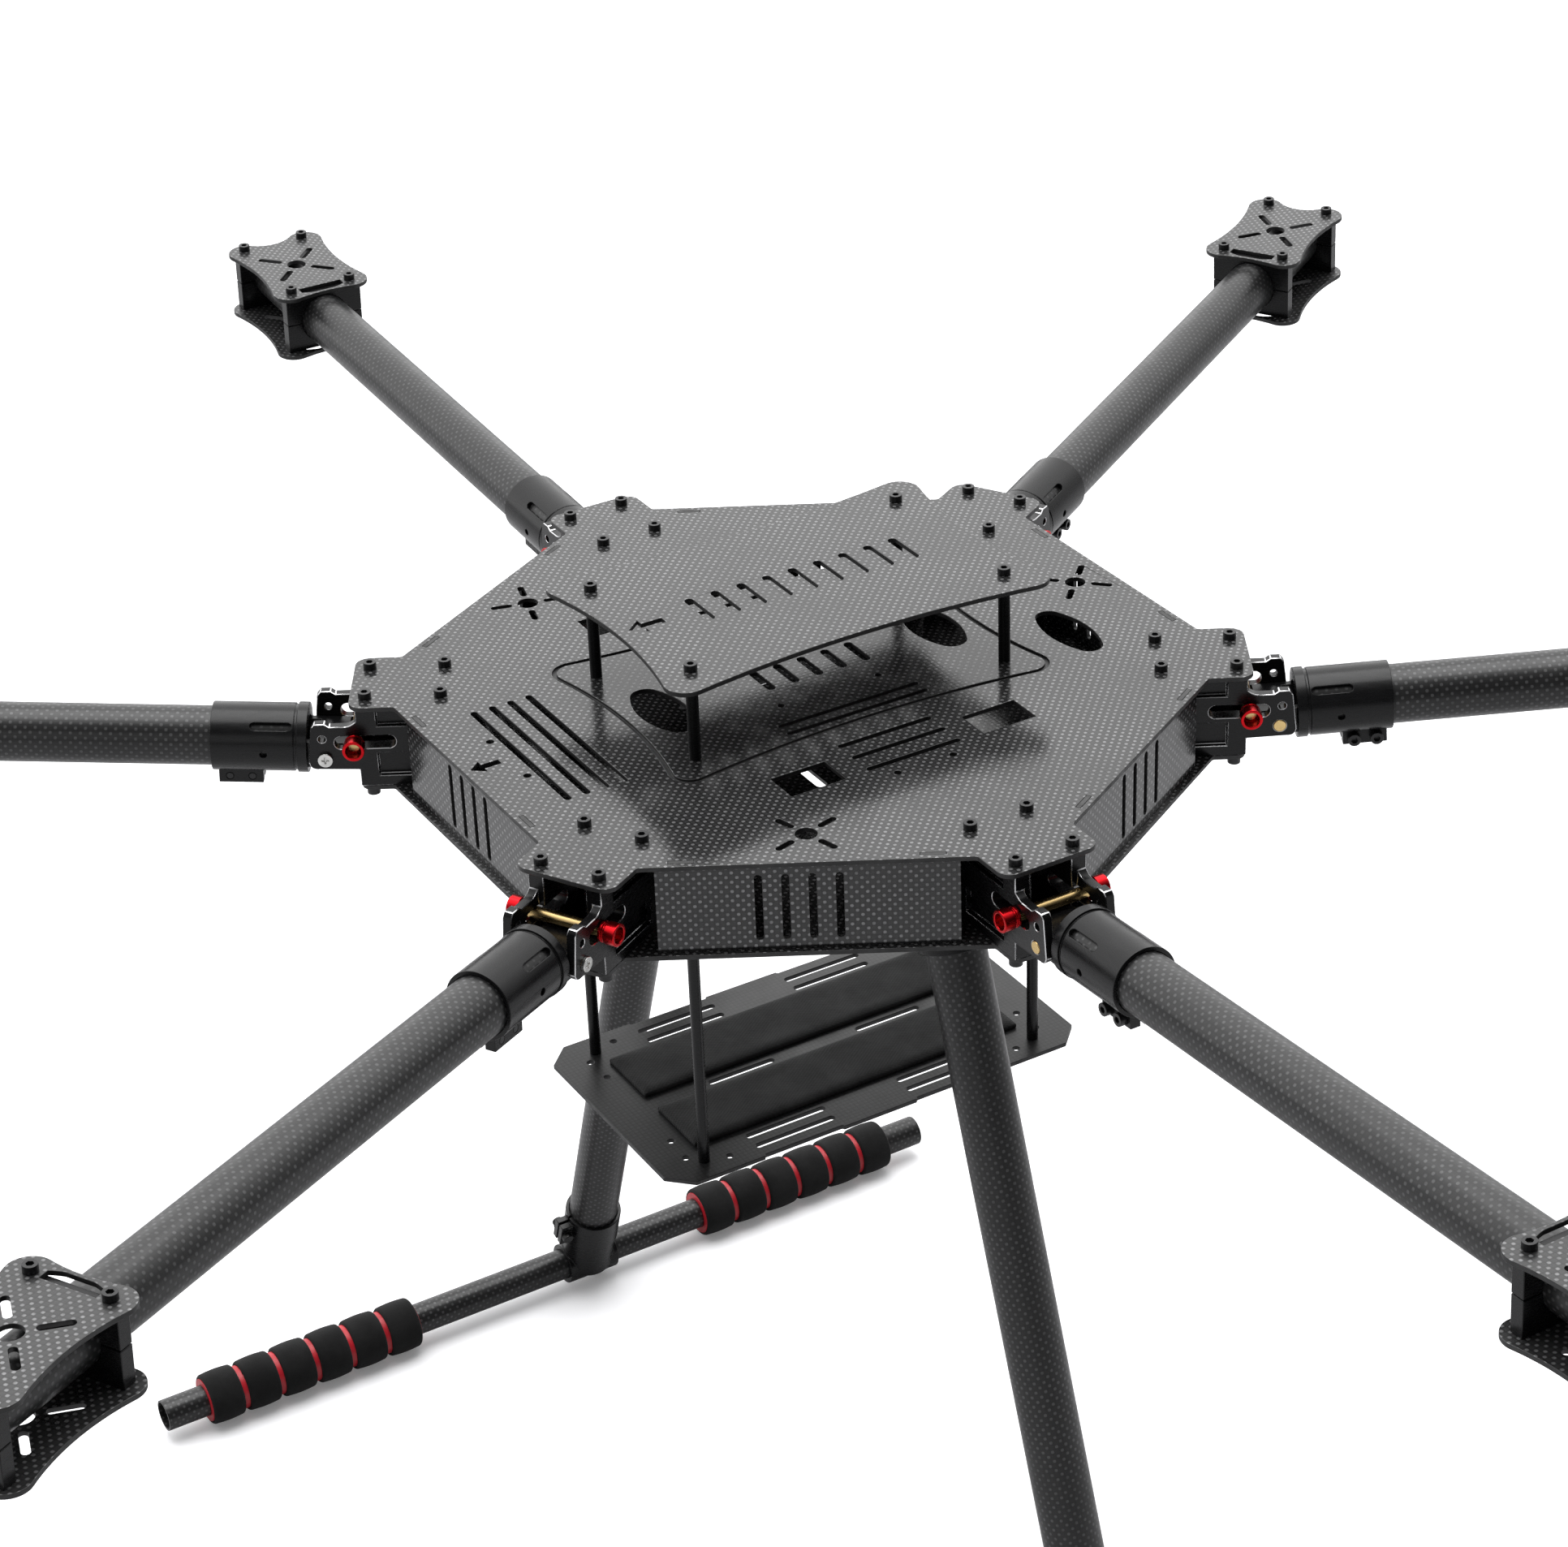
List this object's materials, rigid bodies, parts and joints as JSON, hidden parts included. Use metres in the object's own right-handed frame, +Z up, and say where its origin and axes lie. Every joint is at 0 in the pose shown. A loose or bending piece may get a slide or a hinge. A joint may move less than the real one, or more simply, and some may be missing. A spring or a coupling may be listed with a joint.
{
  "type": "folding multirotor airframe",
  "caption": "Bare multirotor airframe with folding tube arms, motor mounts, battery tray, raised antenna plate and splayed skid legs.",
  "frame": {"origin": "on the floor under the middle of the hub, level with the lowest point of the skid grips", "axes": "+Z up; the nose arrow points to -Y; +X is the drone's left when seen from behind; arm 1 points to +X and the arms count anticlockwise seen from above"},
  "size_m": [1.086, 0.9594, 0.52],
  "materials": {
    "carbon_plate": "satin carbon-fibre laminate with a fine weave",
    "carbon_tube": "matte twill-wrapped carbon-fibre tube",
    "black_aluminium": "black anodised, machined, bright chamfers on the brackets",
    "red_aluminium": "red anodised",
    "brass": "turned and polished",
    "plated_steel": "bright plated",
    "black_steel": "black oxide",
    "pad": "dark matte anti-slip pad",
    "foam": "matte black foam",
    "red_plastic": "matte red tube"
  },
  "bodies": {
    "hub": {"hub_bottom_plate": "carbon_plate", "hub_top_plate": "carbon_plate", "side_panels": "carbon_plate", "arm_brackets": "black_aluminium", "hinge_pins": "brass", "hinge_pin_screws": "plated_steel", "hub_screws": "black_steel", "upper_plate": "carbon_plate", "upper_plate_posts": "black_aluminium", "battery_tray": "carbon_plate", "battery_tray_hangers": "black_aluminium", "battery_pads": "pad", "leg_sockets": "black_aluminium", "leg_tubes": "carbon_tube", "skid_tees": "black_aluminium", "skid_tubes": "carbon_tube", "skid_grip_foam": "foam", "skid_grip_sleeves": "red_plastic"},
    "arm_1": {"arm_tube_1": "carbon_tube", "arm_sleeve_1": "black_aluminium", "motor_plates_1": "carbon_plate", "motor_clamps_1": "black_aluminium", "arm_screws_1": "black_steel"},
    "lock_1": {"lock_pin_1": "brass", "lock_knobs_1": "red_aluminium"},
    "arm_2": {"arm_tube_2": "carbon_tube", "arm_sleeve_2": "black_aluminium", "motor_plates_2": "carbon_plate", "motor_clamps_2": "black_aluminium", "arm_screws_2": "black_steel"},
    "lock_2": {"lock_pin_2": "brass", "lock_knobs_2": "red_aluminium"},
    "arm_3": {"arm_tube_3": "carbon_tube", "arm_sleeve_3": "black_aluminium", "motor_plates_3": "carbon_plate", "motor_clamps_3": "black_aluminium", "arm_screws_3": "black_steel"},
    "lock_3": {"lock_pin_3": "brass", "lock_knobs_3": "red_aluminium"},
    "arm_4": {"arm_tube_4": "carbon_tube", "arm_sleeve_4": "black_aluminium", "motor_plates_4": "carbon_plate", "motor_clamps_4": "black_aluminium", "arm_screws_4": "black_steel"},
    "lock_4": {"lock_pin_4": "brass", "lock_knobs_4": "red_aluminium"},
    "arm_5": {"arm_tube_5": "carbon_tube", "arm_sleeve_5": "black_aluminium", "motor_plates_5": "carbon_plate", "motor_clamps_5": "black_aluminium", "arm_screws_5": "black_steel"},
    "lock_5": {"lock_pin_5": "brass", "lock_knobs_5": "red_aluminium"},
    "arm_6": {"arm_tube_6": "carbon_tube", "arm_sleeve_6": "black_aluminium", "motor_plates_6": "carbon_plate", "motor_clamps_6": "black_aluminium", "arm_screws_6": "black_steel"},
    "lock_6": {"lock_pin_6": "brass", "lock_knobs_6": "red_aluminium"}
  },
  "joints": [
    {"name": "arm_fold_1", "type": "hinge", "parent": "hub", "child": "arm_1", "pos_m": [0.1983, 0, 0.4504], "axis": [0, 1, 0], "range_deg": [0, 75]},
    {"name": "lock_slide_1", "type": "slide", "parent": "hub", "child": "lock_1", "axis": [-1, 0, 0], "range_m": [0, 0.0101]},
    {"name": "arm_fold_2", "type": "hinge", "parent": "hub", "child": "arm_2", "pos_m": [0.09915, 0.17173, 0.4504], "axis": [-0.866, 0.5, 0], "range_deg": [0, 88]},
    {"name": "lock_slide_2", "type": "slide", "parent": "hub", "child": "lock_2", "axis": [-0.5, -0.866, 0], "range_m": [0, 0.0118]},
    {"name": "arm_fold_3", "type": "hinge", "parent": "hub", "child": "arm_3", "pos_m": [-0.09915, 0.17173, 0.4504], "axis": [-0.866, -0.5, 0], "range_deg": [0, 88]},
    {"name": "lock_slide_3", "type": "slide", "parent": "hub", "child": "lock_3", "axis": [0.5, -0.866, 0], "range_m": [0, 0.0118]},
    {"name": "arm_fold_4", "type": "hinge", "parent": "hub", "child": "arm_4", "pos_m": [-0.1983, 0, 0.4504], "axis": [0, -1, 0], "range_deg": [0, 75]},
    {"name": "lock_slide_4", "type": "slide", "parent": "hub", "child": "lock_4", "axis": [1, 0, 0], "range_m": [0, 0.0101]},
    {"name": "arm_fold_5", "type": "hinge", "parent": "hub", "child": "arm_5", "pos_m": [-0.09915, -0.17173, 0.4504], "axis": [0.866, -0.5, 0], "range_deg": [0, 88]},
    {"name": "lock_slide_5", "type": "slide", "parent": "hub", "child": "lock_5", "axis": [0.5, 0.866, 0], "range_m": [0, 0.0118]},
    {"name": "arm_fold_6", "type": "hinge", "parent": "hub", "child": "arm_6", "pos_m": [0.09915, -0.17173, 0.4504], "axis": [0.866, 0.5, 0], "range_deg": [0, 88]},
    {"name": "lock_slide_6", "type": "slide", "parent": "hub", "child": "lock_6", "axis": [-0.5, 0.866, 0], "range_m": [0, 0.0118]}
  ],
  "couplings": [
    {"joint": "lock_slide_1", "follows": "arm_fold_1", "m_per_rad": 0.00764},
    {"joint": "lock_slide_2", "follows": "arm_fold_2", "m_per_rad": 0.00764},
    {"joint": "lock_slide_3", "follows": "arm_fold_3", "m_per_rad": 0.00764},
    {"joint": "lock_slide_4", "follows": "arm_fold_4", "m_per_rad": 0.00764},
    {"joint": "lock_slide_5", "follows": "arm_fold_5", "m_per_rad": 0.00764},
    {"joint": "lock_slide_6", "follows": "arm_fold_6", "m_per_rad": 0.00764}
  ]
}
